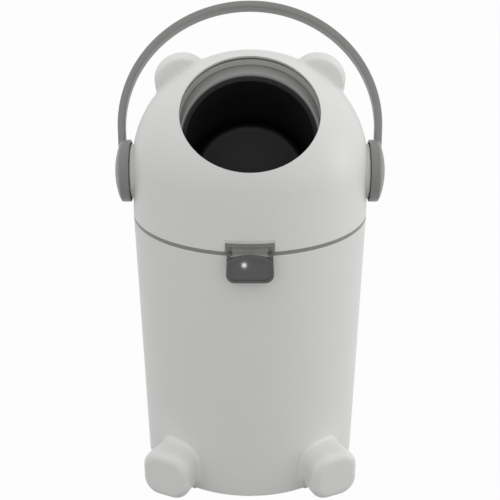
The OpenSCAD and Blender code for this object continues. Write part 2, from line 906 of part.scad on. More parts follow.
module hoop_section(grow = 0) {
    r = hoop_t * 0.34;
    for (x = [-1, 1], y = [-1, 1])
        translate([x * (hoop_t / 2 - r), y * (hoop_w / 2 - r)]) circle(r = r + grow);
    square([hoop_t - 2 * r, hoop_w + 2 * grow], center = true);
    square([hoop_t + 2 * grow, hoop_w - 2 * r], center = true);
}

module hoop() {
    mean = handle_half - hoop_t / 2;
    centre = handle_h - handle_half;
    leg = (centre - mean * sin(leg_lean) - 16) / cos(leg_lean);
    translate([0, 0, centre]) rotate([90, 0, 0])
        rotate([0, 0, -leg_lean]) rotate_extrude(angle = 180 + 2 * leg_lean)
            translate([mean, 0]) hoop_section();
    both_sides()
        translate([mean * cos(leg_lean), 0, centre - mean * sin(leg_lean)])
            rotate([0, leg_lean, 0]) translate([0, 0, -leg])
                linear_extrude(leg + 1) hoop_section(0.06);
}

// Outside of a hub, from its inner plane to its domed face
module hub_solid(r = hub_r, from = hub_x) {
    rotate([0, 90, 0]) rotate_extrude() intersection() {
        translate([0, from]) square([r, hub_rim_x + hub_dome - from + 1]);
        translate([0, hub_rim_x + hub_dome - hub_sphere]) circle(r = hub_sphere);
    }
}

module handle() {
    color(grey) at_drum() difference() {
        union() {
            both_sides() hub_solid();
            hoop();
        }
        both_sides() {
            difference() {
                rod_x(hub_r - hub_wall, hub_x - 1, hub_web_x);
                // Spigot, keys and stop pin
                ring_x(shaft_in_r - fix_gap, shaft_in_r / 2, boss_x - key_in + 0.2, hub_web_x + 1);
                intersection() {
                    ring_x(shaft_r, shaft_in_r - 2, boss_x - key_in + 0.2, hub_web_x + 1);
                    translate([0, -far, -key_w / 2 + fix_gap])
                        cube([far, 2 * far, key_w - 2 * fix_gap]);
                }
            }
            rod_x(handle_screw_r + 0.2, 0, far);
            rod_x(hub_well_r, hub_web_x + hub_web_t, far);
            rod_x(cap_r + fix_gap, cap_x, far);
            ring_x(hub_r - hub_wall, cap_r + hub_wall, hub_web_x - 0.1, hub_rim_x - 4);
        }
    }
    color(grey) at_drum() both_sides()
        translate([0, 0, -stop_ring_r]) rod_x(stop_pin_r, boss_x - 2.5, hub_web_x + 1);
}

module hub_cap() {
    hub_solid(cap_r, cap_x + 0.05);
    ring_x(hub_well_r - fix_gap, hub_well_r - 1.8, cap_x - 2.2, cap_x + 1);
}

module hub_cap_left() {
    color(grey) at_drum() mirror([1, 0, 0]) hub_cap();
}

module hub_cap_right() {
    color(grey) at_drum() hub_cap();
}

module handle_screws() {
    color(steel) at_drum() both_sides()
        translate([hub_web_x + hub_web_t, 0, 0]) rotate([0, 90, 0])
            screw(r = handle_screw_r, length = handle_screw_l, head_r = handle_head_r, head_h = 3);
}

// ---- Piston ----

// Places its children in the bore with +Z up the bore, at the piston's middle
module at_piston() {
    at_drum() rotate([90, 0, 0]) translate([0, 0, -piston_s]) children();
}

// Outline of half of the piston, drawn in by some distance, with the dish in its end
module piston_outline(in) {
    dish_sphere = (dish_r * dish_r + dish_depth * dish_depth) / (2 * dish_depth);
    r = piston_edge - in;
    difference() {
        union() {
            square([piston_r - piston_edge, piston_l / 2 - in]);
            square([piston_r - in, piston_l / 2 - piston_edge]);
            translate([piston_r - piston_edge, piston_l / 2 - piston_edge]) circle(r = r);
        }
        translate([0, piston_l / 2 + dish_sphere - dish_depth]) circle(r = dish_sphere + in);
    }
}

module piston_half() {
    difference() {
        rotate_extrude() difference() {
            piston_outline(0);
            translate([0, -1]) piston_outline(piston_wall);
            translate([0, -1]) square([piston_r - piston_wall, 2]);
        }
        translate([0, 0, wiper_s - wiper_w / 2]) difference() {
            cylinder(r = far, h = wiper_w);
            cylinder(r = piston_r - 2, h = wiper_w);
        }
    }
}

module piston_front() {
    color(black) at_piston() {
        piston_half();
        // Ring that seats inside the rear half
        difference() {
            union() {
                translate([0, 0, -5]) cylinder(r = piston_r - piston_wall - fix_gap, h = 10);
                translate([0, 0, 0.5]) cylinder(r = piston_r - piston_wall + 0.6, h = 4.5);
            }
            translate([0, 0, -6]) cylinder(r = piston_r - piston_wall - 2.2, h = 14);
        }
    }
}

module piston_rear() {
    color(black) at_piston() mirror([0, 0, 1]) piston_half();
}

module piston_wipers() {
    color(rubber) at_piston() for (side = [-1, 1]) translate([0, 0, side * wiper_s])
        rotate_extrude()
            polygon([
                [piston_r - 2 + 0.02, -wiper_w / 2 + 0.1], [piston_r - 0.4, -wiper_w / 2 + 0.1],
                [bore_r - face_gap, -0.6], [bore_r - face_gap, 0.6],
                [piston_r - 0.4, wiper_w / 2 - 0.1], [piston_r - 2 + 0.02, wiper_w / 2 - 0.1]
            ]);
}

tub();
foot_left();
foot_right();
foot_screws();
grip_pads();
bag_ring();
hinge_pin();
lid_dome();
lid_cradle();
mouth_seal();
drop_seal();
lid_seal();
bush_left();
bush_right();
cradle_screws();
latch_plate();
latch_pin();
latch_flap();
latch_tongue();
drum_front();
drum_rear();
bore_liner();
trunnion_left();
trunnion_right();
trunnion_screws();
handle();
hub_cap_left();
hub_cap_right();
handle_screws();
piston_front();
piston_rear();
piston_wipers();
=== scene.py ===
"""Nappy bin: the looks of its pieces, from the floor up, then the studio it stands in."""

import math

import bpy
from mathutils import Matrix, Vector


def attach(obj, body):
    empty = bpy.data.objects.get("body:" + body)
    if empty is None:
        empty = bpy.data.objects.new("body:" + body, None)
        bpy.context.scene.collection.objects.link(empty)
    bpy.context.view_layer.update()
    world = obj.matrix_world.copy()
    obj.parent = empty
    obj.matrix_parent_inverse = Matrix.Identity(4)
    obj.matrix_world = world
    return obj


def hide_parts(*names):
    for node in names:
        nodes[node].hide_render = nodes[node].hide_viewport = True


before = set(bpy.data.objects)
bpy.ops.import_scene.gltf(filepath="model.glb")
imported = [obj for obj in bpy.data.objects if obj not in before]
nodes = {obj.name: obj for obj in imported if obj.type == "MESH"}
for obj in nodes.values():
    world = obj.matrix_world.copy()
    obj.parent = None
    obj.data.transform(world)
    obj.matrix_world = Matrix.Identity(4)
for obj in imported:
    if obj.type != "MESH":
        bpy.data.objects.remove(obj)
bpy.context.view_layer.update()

# ---- Tub ----
# One thin-walled moulding in white polypropylene, a little narrower at the floor, with a rounded
# bottom edge. Two hinge lugs and the latch's catch are moulded onto it.

mm = 0.001
tub_r = 140.0
base_r = 131.0
base_z = 0.8
tub_h = 321.0
tub_wall = 2.6
base_edge = 3.5
hinge_y = 146.0
hinge_z = tub_h + 3
knuckle_r = 5.5
knuckle_half = 17.4
knuckle_end = 34.0


def arc(centre, radius, start, end, steps=8):
    """Points of a round stretch about a centre, in the plane of an outline."""
    turns = [math.radians(start + (end - start) * i / steps) for i in range(steps + 1)]
    return [(centre[0] + radius * math.cos(t), centre[1] + radius * math.sin(t)) for t in turns]


def pick(piece):
    """Leaves only this piece selected and active."""
    bpy.ops.object.select_all(action="DESELECT")
    piece.select_set(True)
    bpy.context.view_layer.objects.active = piece


def name_it(name):
    """Gives the piece that was just added its name."""
    piece = bpy.context.object
    piece.name = piece.data.name = name
    return piece


def drawn(name, points):
    """Draws an outline as a chain of edges and leaves it in edit mode."""
    bpy.ops.object.select_all(action="DESELECT")
    bpy.ops.mesh.primitive_plane_add(size=mm)
    piece = name_it(name)
    bpy.ops.object.mode_set(mode="EDIT")
    bpy.ops.mesh.select_mode(type="VERT")
    bpy.ops.mesh.select_all(action="SELECT")
    bpy.ops.mesh.merge(type="CENTER")
    bpy.ops.transform.translate(value=points[0])
    for before, after in zip(points, points[1:]):
        bpy.ops.mesh.extrude_region_move(TRANSFORM_OT_translate={"value": after - before})
    return piece


def turned(name, outline, steps=192):
    """Spins an outline of (radius, height) in mm about the upright axis."""
    piece = drawn(name, [Vector((r * mm, 0, z * mm)) for r, z in outline])
    bpy.ops.mesh.select_all(action="SELECT")
    bpy.ops.mesh.spin(steps=steps, angle=math.tau, center=(0, 0, 0), axis=(0, 0, 1))
    bpy.ops.mesh.select_all(action="SELECT")
    bpy.ops.mesh.remove_doubles(threshold=0.002 * mm)
    bpy.ops.mesh.normals_make_consistent(inside=False)
    bpy.ops.object.mode_set(mode="OBJECT")
    return piece


def slab(name, outline, start, end):
    """Extrudes a closed outline of (y, z) in mm along X from start to end."""
    piece = drawn(name, [Vector((start * mm, y * mm, z * mm)) for y, z in outline])
    bpy.ops.mesh.select_all(action="SELECT")
    bpy.ops.mesh.edge_face_add()
    bpy.ops.mesh.extrude_region_move(TRANSFORM_OT_translate={"value": ((end - start) * mm, 0, 0)})
    bpy.ops.mesh.select_all(action="SELECT")
    bpy.ops.mesh.normals_make_consistent(inside=False)
    bpy.ops.object.mode_set(mode="OBJECT")
    return piece


def rod(name, radius, start, end, y=0.0, z=0.0, sides=64):
    """A round bar along X from start to end, in mm."""
    bpy.ops.object.select_all(action="DESELECT")
    bpy.ops.mesh.primitive_cylinder_add(
        vertices=sides, radius=radius * mm, depth=(end - start) * mm,
        location=((start + end) / 2 * mm, y * mm, z * mm), rotation=(0, math.pi / 2, 0))
    piece = name_it(name)
    bpy.ops.object.transform_apply(location=True, rotation=True, scale=True)
    return piece


def block(name, low, high):
    """A plain box between two corners in mm, for cutting with."""
    bpy.ops.object.select_all(action="DESELECT")
    bpy.ops.mesh.primitive_cube_add(size=1)
    piece = name_it(name)
    piece.scale = [(b - a) * mm for a, b in zip(low, high)]
    piece.location = [(a + b) / 2 * mm for a, b in zip(low, high)]
    bpy.ops.object.transform_apply(location=True, rotation=True, scale=True)
    return piece


def place(piece, matrix):
    """Puts a piece where it belongs and leaves its place in its mesh."""
    pick(piece)
    piece.matrix_world = matrix
    bpy.ops.object.transform_apply(location=True, rotation=True, scale=True)
    return piece


def combine(piece, tool, how="DIFFERENCE", solver="MANIFOLD"):
    """Cuts, joins or crosses a piece with a tool, which is used up."""
    pick(piece)
    change = piece.modifiers.new("combine", "BOOLEAN")
    change.operation, change.object, change.solver = how, tool, solver
    bpy.ops.object.modifier_apply(modifier=change.name)
    bpy.data.objects.remove(tool)
    return piece


def soften(piece, width, angle=40.0, segments=2):
    """Rounds the edges of a moulding and shades it smooth."""
    pick(piece)
    if width:
        edge = piece.modifiers.new("edges", "BEVEL")
        edge.width, edge.segments = width * mm, segments
        edge.limit_method, edge.angle_limit = "ANGLE", math.radians(angle)
        edge.use_clamp_overlap = True
        bpy.ops.object.modifier_apply(modifier=edge.name)
    bpy.ops.object.shade_smooth_by_angle(angle=math.radians(32))
    return piece


def colour(text):
    """Turns an sRGB hex colour to linear."""
    parts = [int(text[i:i + 2], 16) / 255 for i in (1, 3, 5)]
    return tuple(c / 12.92 if c <= 0.04045 else ((c + 0.055) / 1.055) ** 2.4 for c in parts) + (1.0,)


def add(material, kind, settings=(), **links):
    """Adds a node with its settings, and links its inputs by name."""
    made = material.node_tree.nodes.new(kind)
    for key, value in dict(settings).items():
        if key in made.inputs:
            made.inputs[key].default_value = value
        else:
            setattr(made, key, value)
    for key, source in links.items():
        material.node_tree.links.new(source, made.inputs[key.replace("_", " ")])
    return made


def moulded(name, shade, fleck, roughness, grain, depth):
    """Injection-moulded plastic: a faint cloudiness in the colour, and the fine eroded grain of the mould."""
    material = bpy.data.materials.new(name)
    material.use_nodes = True
    material.node_tree.nodes.clear()
    place_of = add(material, "ShaderNodeTexCoord").outputs["Object"]
    cloud = add(material, "ShaderNodeTexNoise", {"Scale": 1 / (45 * mm), "Detail": 2.0}, Vector=place_of)
    tint = add(material, "ShaderNodeMix", {"data_type": "RGBA"}, Factor=cloud.outputs["Fac"])
    tint.inputs[6].default_value, tint.inputs[7].default_value = colour(shade), colour(fleck)
    pits = add(material, "ShaderNodeTexNoise", {"Scale": 1 / (grain * mm), "Detail": 3.0, "Roughness": 0.6},
               Vector=place_of)
    shine = add(material, "ShaderNodeMapRange", {"To Min": roughness * 0.88, "To Max": roughness * 1.12},
                Value=pits.outputs["Fac"])
    relief = add(material, "ShaderNodeBump", {"Strength": 1.0, "Distance": depth * mm},
                 Height=pits.outputs["Fac"])
    skin = add(material, "ShaderNodeBsdfPrincipled", {"IOR": 1.49}, Base_Color=tint.outputs[2],
               Roughness=shine.outputs["Result"], Normal=relief.outputs["Normal"])
    add(material, "ShaderNodeOutputMaterial", Surface=skin.outputs["BSDF"])
    return material


# White polypropylene, moulded in a fine satin mould: a soft sheen with no sharp reflections.
# The grain is drawn at 1.1 mm, coarser than the real 0.1 mm, so that it shows.
white_plastic = moulded("polypropylene_white_satin", "#e6e6e3", "#e9e9e7", 0.42, 1.1, 0.004)

inner_floor = base_r - tub_wall - base_edge
tub = turned("tub_shell", [(0, base_z + 2), (99, base_z + 2), (99.6, base_z)]
             + arc((base_r - base_edge, base_z + base_edge), base_edge, -90, 0)
             + [(tub_r, tub_h - 0.4), (tub_r - 0.4, tub_h), (tub_r - tub_wall + 0.4, tub_h),
                (tub_r - tub_wall, tub_h - 0.4)]
             + arc((inner_floor, base_z + 5 + base_edge), base_edge, 0, -90)
             + [(0, base_z + 5)])
for side in (-1, 1):
    start, end = sorted((side * (knuckle_half + 0.6), side * knuckle_end))
    web = slab("lug", [(tub_r - 1.8, tub_h - 22), (tub_r - 0.6, tub_h - 22),
                       (hinge_y + knuckle_r, hinge_z - 2), (hinge_y + knuckle_r, hinge_z),
                       (hinge_y, hinge_z), (tub_r + 0.3, hinge_z), (tub_r + 0.3, tub_h - 0.6),
                       (tub_r - 1.8, tub_h - 0.6)], start, end)
    lug = combine(web, rod("lug_barrel", knuckle_r, start, end, hinge_y, hinge_z), "UNION")
    combine(lug, rod("pin_bore", 2.05, -60, 60, hinge_y, hinge_z))
    soften(lug, 0.5)
    combine(tub, lug, "UNION")
catch_z = tub_h - 16
catch = slab("catch", [(-tub_r + 1.6, catch_z), (-tub_r - 3.2, catch_z), (-tub_r - 3.2, catch_z + 1),
                       (-tub_r + 1.6, catch_z + 5)], -10, 10)
combine(tub, catch, "UNION")
soften(tub, 0)
tub.data.materials.clear()
tub.data.materials.append(white_plastic)
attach(tub, "bin")
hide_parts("tub")

# ---- Feet ----
# Two stubby feet in the same white plastic, hollow mouldings screwed on from inside the tub.
# Each has a round-edged sole that is turned a little outwards, and flares softly onto the tub.

foot_w = 62.0
foot_h = 60.0
foot_neck_w = 56.0
foot_neck_h = 58.0
foot_out = 38.5
foot_place = math.radians(37.8)
foot_yaw = math.radians(26)
foot_round = 10.0
foot_corner = 22.0


def fade(value, near, far):
    """1 at near, 0 at far, and smooth in between."""
    t = min(max((far - value) / (far - near), 0.0), 1.0)
    return t * t * (3 - 2 * t)


def blur(piece, weights, rounds):
    """Smooths a piece where its weights say, so that a crease becomes a soft hollow."""
    group = piece.vertex_groups.new(name="crease")
    for i, w in enumerate(weights):
        if w > 0:
            group.add([i], w, "REPLACE")
    pick(piece)
    ease = piece.modifiers.new("ease", "SMOOTH")
    ease.factor, ease.iterations, ease.vertex_group = 0.5, rounds, "crease"
    bpy.ops.object.modifier_apply(modifier=ease.name)
    piece.vertex_groups.clear()
    return piece


def remesh(piece, size):
    """Turns a joined piece into one even skin."""
    pick(piece)
    skin = piece.modifiers.new("skin", "REMESH")
    skin.mode, skin.voxel_size = "VOXEL", size * mm
    bpy.ops.object.modifier_apply(modifier=skin.name)
    return piece


def edges_where(piece, test):
    """Goes into edit mode with just the edges selected whose two ends pass a test."""
    pick(piece)
    bpy.ops.object.mode_set(mode="EDIT")
    bpy.ops.mesh.select_mode(type="EDGE")
    bpy.ops.mesh.select_all(action="DESELECT")
    bpy.ops.object.mode_set(mode="OBJECT")
    inside = [test(v.co / mm) for v in piece.data.vertices]
    for edge in piece.data.edges:
        edge.select = inside[edge.vertices[0]] and inside[edge.vertices[1]]
    bpy.ops.object.mode_set(mode="EDIT")


# Modelled lying along +Y, with the sole at y = 0 and the floor at z = 0
foot_l = 66.0
foot = block("foot_left_shell", (-foot_w / 2, 0, 0), (foot_w / 2, foot_l, foot_h))
edges_where(foot, lambda p: p.y > foot_l - 0.1)
bpy.ops.transform.resize(value=(foot_neck_w / foot_w, 1, foot_neck_h / foot_h),
                         center_override=(0, foot_l * mm, 0))
bpy.ops.object.mode_set(mode="OBJECT")
edges_where(foot, lambda p: False)
bpy.ops.object.mode_set(mode="OBJECT")
for edge in foot.data.edges:
    a, b = (foot.data.vertices[i].co for i in edge.vertices)
    edge.select = abs(a.y - b.y) > foot_l / 2 * mm
bpy.ops.object.mode_set(mode="EDIT")
bpy.ops.mesh.bevel(offset=foot_corner * mm, segments=10, profile=0.5)
bpy.ops.object.mode_set(mode="OBJECT")
edges_where(foot, lambda p: p.y < 0.1)
bpy.ops.mesh.bevel(offset=foot_round * mm, segments=7, profile=0.5)
bpy.ops.object.mode_set(mode="OBJECT")
sole = Vector((-math.sin(foot_place), -math.cos(foot_place), 0)) * (base_r + foot_out) * mm
place(foot, Matrix.Translation(sole + Vector((0, 0, base_z * mm))) @ Matrix.Rotation(-foot_yaw, 4, "Z"))
stand = turned("tub_under_foot", [(0, -20), (base_r - 0.58, -20), (base_r + 3.0, 120), (0, 120)], 256)
combine(stand, block("foot_room", (-160, -160, -15), (-30, -20, 104)), "INTERSECT")
combine(foot, stand, "UNION")
remesh(foot, 1.25)


def above_tub(point):
    """How far a point stands out from the tub's side, in mm."""
    return math.hypot(point.x, point.y) / mm - base_r - (tub_r - base_r) * point.z / mm / tub_h


near_tub = [fade(abs(above_tub(v.co)), 8, 20) for v in foot.data.vertices]
blur(foot, near_tub, 60)
combine(foot, block("under_floor", (-300, -300, -60), (300, 300, base_z)))
tub_plug = turned("tub_plug", [(0, -30), (base_r + 0.05, -30), (base_r + 0.05, base_z + base_edge),
                               (tub_r + 0.05, tub_h), (0, tub_h)], 256)
combine(foot, tub_plug)
soften(foot, 0)
foot.data.materials.clear()
foot.data.materials.append(white_plastic)
pick(foot)
bpy.ops.object.duplicate()
foot_right = name_it("foot_right_shell")
place(foot_right, Matrix.Diagonal((-1, 1, 1, 1)))
bpy.ops.object.mode_set(mode="EDIT")
bpy.ops.mesh.select_all(action="SELECT")
bpy.ops.mesh.normals_make_consistent(inside=False)
bpy.ops.object.mode_set(mode="OBJECT")
for shell, node in ((foot, "foot_left"), (foot_right, "foot_right")):
    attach(shell, "bin")
    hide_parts(node)

# ---- Bag ring ----
# A grey ring that lies on the tub's rim and holds the bag's edge between its skirt and the tub.
# Its outer edge is the dark line between tub and lid.

ring_h = 4.5
skirt_out = tub_r - tub_wall - 1.1
# Grey polypropylene, a shade glossier than the white, with the same fine grain.
grey_plastic = moulded("polypropylene_grey_satin", "#868684", "#8a8a88", 0.36, 0.9, 0.004)

ring = turned("bag_ring_rim", [
    (skirt_out - 2.4, tub_h - 28), (skirt_out - 0.8, tub_h - 28), (skirt_out, tub_h - 6), (skirt_out, tub_h),
    (tub_r - 0.6, tub_h)] + arc((tub_r - 0.6, tub_h + 0.6), 0.6, -90, 0, 3)
    + arc((tub_r - 0.6, tub_h + ring_h - 0.6), 0.6, 0, 90, 3) + [
    (tub_r - 10.5, tub_h + ring_h), (skirt_out - 4.4, tub_h + ring_h - 2.4), (skirt_out - 2.4, tub_h - 6),
    (skirt_out - 2.4, tub_h - 28)])
soften(ring, 0)
ring.data.materials.append(grey_plastic)
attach(ring, "bin")
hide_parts("bag_ring")

# ---- Lid ----
# One white moulding: a nearly straight side, a dome a little flatter than a ball, two round ears that
# melt into it, a side boss for each trunnion, and a slanted opening cut straight through the wall.

lid_z = tub_h + ring_h + 0.2
shoulder_z = lid_z + 61
pivot_z = lid_z + 48
lid_wall = 2.8
dome_a = 139.1
dome_b = 129.7
opening_r = 78.3
opening_tilt = math.radians(51)
ear_r, ear_half, ear_edge = 32.7, 11.0, 3.0
ear_lean = math.radians(12)
ear_tilt = math.radians(37.2)
ear_reach = dome_a - 8.1
ear_back = 20.0
boss_r, boss_x = 32.0, 141.2


def dome_outline(inwards, low, step=3):
    """Outline of the lid's outside, or of its inside when drawn inwards by the wall."""
    a, b = dome_a - inwards, dome_b - inwards
    side = tub_r - inwards
    rise = [(a * math.cos(math.radians(t)), shoulder_z + b * math.sin(math.radians(t)))
            for t in range(0, 90, step)]
    return [(0, lid_z - low), (side, lid_z - low), (side, lid_z)] + rise + [(0, shoulder_z + b)]


dome = turned("lid_shell", dome_outline(0, 9))
ear_centres = []
for side in (-1, 1):
    flat = ear_half - ear_edge
    rim = arc((ear_r - ear_edge, flat), ear_edge, 0, 90) + [(0, ear_half)]
    ear = turned("ear", [(r, -z) for r, z in reversed(rim)] + rim, 96)
    lean = Matrix.Rotation(side * ear_tilt, 4, "Y") @ Matrix.Translation((0, 0, ear_reach * mm))
    ear_base = Matrix.Translation((0, ear_back * mm, pivot_z * mm))
    place(ear, ear_base @ lean @ Matrix.Rotation(math.pi / 2 + ear_lean, 4, "X"))
    ear_centres.append(Vector((side * math.sin(ear_tilt) * ear_reach * mm, ear_back * mm,
                               (pivot_z + math.cos(ear_tilt) * ear_reach) * mm)))
    combine(dome, ear, "UNION")
remesh(dome, 1.5)


ear_far = [min((v.co - c).length for c in ear_centres) / mm for v in dome.data.vertices]
blur(dome, [fade(d, 40, 50) for d in ear_far], 3)
# Away from the ears the skin goes back onto the true dome
true_dome = turned("true_dome", dome_outline(0, 9, 1), 480)
onto = dome.vertex_groups.new(name="onto")
for i, d in enumerate(ear_far):
    onto.add([i], 1 - fade(d, 44, 56), "REPLACE")
pick(dome)
press = dome.modifiers.new("press", "SHRINKWRAP")
press.target, press.vertex_group = true_dome, "onto"
bpy.ops.object.modifier_apply(modifier=press.name)
dome.vertex_groups.clear()
bpy.data.objects.remove(true_dome)

combine(dome, turned("lid_hollow", dome_outline(lid_wall, 20)))
combine(dome, block("below_lid", (-200, -200, lid_z - 60), (200, 200, lid_z)))
for side in (-1, 1):
    start, end = sorted((side * 130.0, side * boss_x))
    boss = soften(rod("side_boss", boss_r, start, end, 0, pivot_z, 128), 0.8)
    combine(dome, boss, "UNION")
combine(dome, rod("shaft_hole", 22.05, -200, 200, 0, pivot_z, 96))
mouth = turned("opening_cutter", [(0, 20), (opening_r, 20), (opening_r, 260), (0, 260)], 256)
place(mouth, Matrix.Translation((0, 0, pivot_z * mm)) @ Matrix.Rotation(math.pi / 2 - opening_tilt, 4, "X"))
combine(dome, mouth)
knuckle = slab("knuckle", [(tub_r - lid_wall + 0.2, lid_z), (hinge_y, lid_z),
                           (hinge_y + knuckle_r * 0.9, hinge_z + 2.4), (tub_r - 0.2, lid_z + 18),
                           (tub_r - lid_wall + 0.2, lid_z + 18)], -knuckle_half, knuckle_half)
combine(knuckle, rod("knuckle_barrel", knuckle_r, -knuckle_half, knuckle_half, hinge_y, hinge_z), "UNION")
combine(knuckle, rod("pin_bore", 2.05, -60, 60, hinge_y, hinge_z))
soften(knuckle, 0.4)
combine(dome, knuckle, "UNION")
seat = turned("plate_seat", [(tub_r - 1.2, lid_z - 1), (tub_r + 9, lid_z - 1), (tub_r + 9, lid_z + 13.4),
                             (tub_r - 1.2, lid_z + 13.4), (tub_r - 1.2, lid_z - 1)], 256)
combine(seat, block("seat_width", (-27.4, -200, 200), (27.4, 0, 400)), "INTERSECT")
combine(dome, seat)
for side in (-1, 1):
    start, end = sorted((side * (knuckle_half + 0.2), side * (knuckle_end + 1)))
    combine(dome, rod("lug_room", knuckle_r + 0.3, start, end, hinge_y, hinge_z))
soften(dome, 0)
dome.data.materials.clear()
dome.data.materials.append(white_plastic)
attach(dome, "lid")
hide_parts("lid_dome")

# ---- Latch plate ----
# A curved grey plate let into the lid's front, with the barrel that the latch swings on.

flap_w = 51.0
prong_w = 5.0
prong_r = 4.2
latch_y = -145.6
latch_z = tub_h + 2.5
plate_h = 10.0
barrel_r = 2.8
barrel_half = flap_w / 2 - prong_w - 0.6
plate = turned("latch_plate_shell", [
    (tub_r - 1.1, lid_z + 0.3), (tub_r + 2.0, lid_z + 0.3), (tub_r + 2.5, lid_z + 0.8),
    (tub_r + 2.9, lid_z + plate_h - 2.6), (tub_r + 3.1, lid_z + plate_h - 2.3),
    (tub_r + 3.1, lid_z + plate_h - 1.6), (tub_r + 1.4, lid_z + plate_h - 1.3),
    (tub_r + 1.4, lid_z + plate_h - 0.5), (tub_r + 1.9, lid_z + plate_h), (tub_r - 1.1, lid_z + plate_h),
    (tub_r - 1.1, lid_z + 0.3)], 512)
combine(plate, block("plate_width", (-27, -200, 200), (27, 0, 400)), "INTERSECT")
combine(plate, rod("latch_barrel", barrel_r, -barrel_half, barrel_half, latch_y, latch_z), "UNION")
web_back = latch_y + 4.5
combine(plate, block("barrel_web", (-barrel_half, latch_y, latch_z),
                     (barrel_half, web_back, latch_z + 3)), "UNION")
combine(plate, block("web_root", (-barrel_half, latch_y + 2.7, latch_z),
                     (barrel_half, web_back, lid_z + 4)), "UNION")
combine(plate, rod("latch_pin_bore", 1.27, -60, 60, latch_y, latch_z))
for side in (-1, 1):
    middle = side * (barrel_half + prong_w)
    combine(plate, rod("prong_room", prong_r + 0.2, middle - prong_w, middle + prong_w, latch_y, latch_z))
soften(plate, 0.25)
plate.data.materials.clear()
plate.data.materials.append(grey_plastic)
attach(plate, "lid")
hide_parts("latch_plate")

# ---- Latch flap ----
# A dark, half-glossy thumb flap: round lower corners, a raised rim round a flat face, an arched top,
# and a prong at each top corner that swings on the lid's barrel.

flap_y = -151.5
flap_top = tub_h + 3
flap_low = flap_top - 30
flap_flare = 0.8
flap_corner = 9.5
flap_arch = 52.5
# Dark grey polypropylene from a polished mould: smooth enough to show a small bright reflection.
dark_plastic = moulded("polypropylene_dark_polished", "#555554", "#585857", 0.04, 1.6, 0.0001)


def flap_outline(inwards):
    """Outline of the flap in (x, z), drawn in by some mm."""
    low, top, r = flap_w / 2 + flap_flare - inwards, flap_w / 2 - inwards, flap_corner - inwards
    points = arc((low - r, flap_low + inwards + r), r, 0, -90)
    points += arc((-low + r, flap_low + inwards + r), r, -90, -180)
    crown = arc((0, flap_top + 3 - flap_arch), flap_arch - inwards * 1.3, 110, 70, 12)
    return points + [(-top, flap_top - 3.5 - inwards)] + crown + [(top, flap_top - 3.5 - inwards)]


def flap_slab(name, inwards, front, back):
    """The flap's outline extruded from front to back, both y in mm."""
    piece = drawn(name, [Vector((x * mm, front * mm, z * mm)) for x, z in flap_outline(inwards)])
    bpy.ops.mesh.select_all(action="SELECT")
    bpy.ops.mesh.edge_face_add()
    bpy.ops.mesh.extrude_region_move(TRANSFORM_OT_translate={"value": (0, (back - front) * mm, 0)})
    bpy.ops.mesh.select_all(action="SELECT")
    bpy.ops.mesh.normals_make_consistent(inside=False)
    bpy.ops.object.mode_set(mode="OBJECT")
    return piece


flap = flap_slab("latch_flap_shell", 0, flap_y, -139)
combine(flap, flap_slab("flap_hollow", 2.2, flap_y + 2.2, -100))
combine(flap, flap_slab("flap_panel", 3.2, flap_y - 3, flap_y + 1.2))
for side in (-1, 1):
    start, end = sorted((side * (flap_w / 2 - prong_w), side * flap_w / 2))
    prong = rod("prong", prong_r, start, end, latch_y, latch_z, 48)
    combine(prong, block("prong_foot", (start, latch_y - prong_r, latch_z - 8),
                         (end, latch_y + prong_r, latch_z)), "UNION")
    combine(flap, prong, "UNION")
combine(flap, turned("flap_back", [(0, 270), (tub_r + 0.6, 270), (tub_r + 0.6, 330), (0, 330)], 256))
combine(flap, block("barrel_space", (-barrel_half - 0.3, flap_y + 2.5, latch_z - 3.2),
                    (barrel_half + 0.3, -100, latch_z + 20)))
combine(flap, rod("latch_pin_bore", 1.3, -24.3, 24.3, latch_y, latch_z))
soften(flap, 0.7, segments=3)
flats = flap.modifiers.new("flats", "WEIGHTED_NORMAL")
flats.keep_sharp = True
bpy.ops.object.modifier_apply(modifier=flats.name)
flap.data.materials.clear()
flap.data.materials.append(dark_plastic)
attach(flap, "latch")
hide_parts("latch_flap")

# ---- Drum ----
# A hollow grey ball in two halves inside the lid. Each half has a round mouth with a rolled lip, and
# flats at its sides that the trunnions are screwed to. The handle turns it end over end.

drum_r = 131.5
drum_wall = 2.6
mouth_r = 75.6
lip_r = 2.5
lip_s = math.sqrt((drum_r - lip_r) ** 2 - (mouth_r + lip_r) ** 2)
drum_tilt = math.radians(38)
flat_x = 127.8
at_drum = Matrix.Translation((0, 0, pivot_z * mm)) @ Matrix.Rotation(-drum_tilt, 4, "X")
up_bore = at_drum @ Matrix.Rotation(math.pi / 2, 4, "X")

lip_turn = math.degrees(math.atan2(lip_s, mouth_r + lip_r))
half_skin = [(math.cos(math.radians(t)) * drum_r, math.sin(math.radians(t)) * drum_r)
             for t in [lip_turn * i / 16 for i in range(17)]]
half_skin += arc((mouth_r + lip_r, lip_s), lip_r, lip_turn + 20, 180, 6)
half_skin += [(mouth_r, lip_s - 10), (mouth_r + 2.4, lip_s - 10)]
inner_turn = math.degrees(math.acos((mouth_r + 2.4) / (drum_r - drum_wall)))
half_skin += [(math.cos(math.radians(t)) * (drum_r - drum_wall), math.sin(math.radians(t)) * (drum_r - drum_wall))
              for t in [inner_turn * i / 16 for i in range(16, -1, -1)]]
drum_front = turned("drum_front_shell", half_skin + [half_skin[0]])
for side in (-1, 1):
    start, end = sorted((side * (flat_x - 9), side * (flat_x + 2)))
    disc = rod("drum_seat", 29.5, start, end, sides=96)
    combine(disc, block("other_half", (-200, -100, -100), (200, 100, 0.05)))
    combine(drum_front, disc, "UNION")
    start, end = sorted((side * flat_x, side * 200))
    combine(drum_front, block("beyond_flat", (start, -90, -90), (end, 90, 90)))
    start, end = sorted((side * (flat_x - 3), side * 200))
    combine(drum_front, rod("flange_seat", 28.1, start, end, sides=96))
soften(drum_front, 0)
drum_front.data.materials.clear()
drum_front.data.materials.append(grey_plastic)
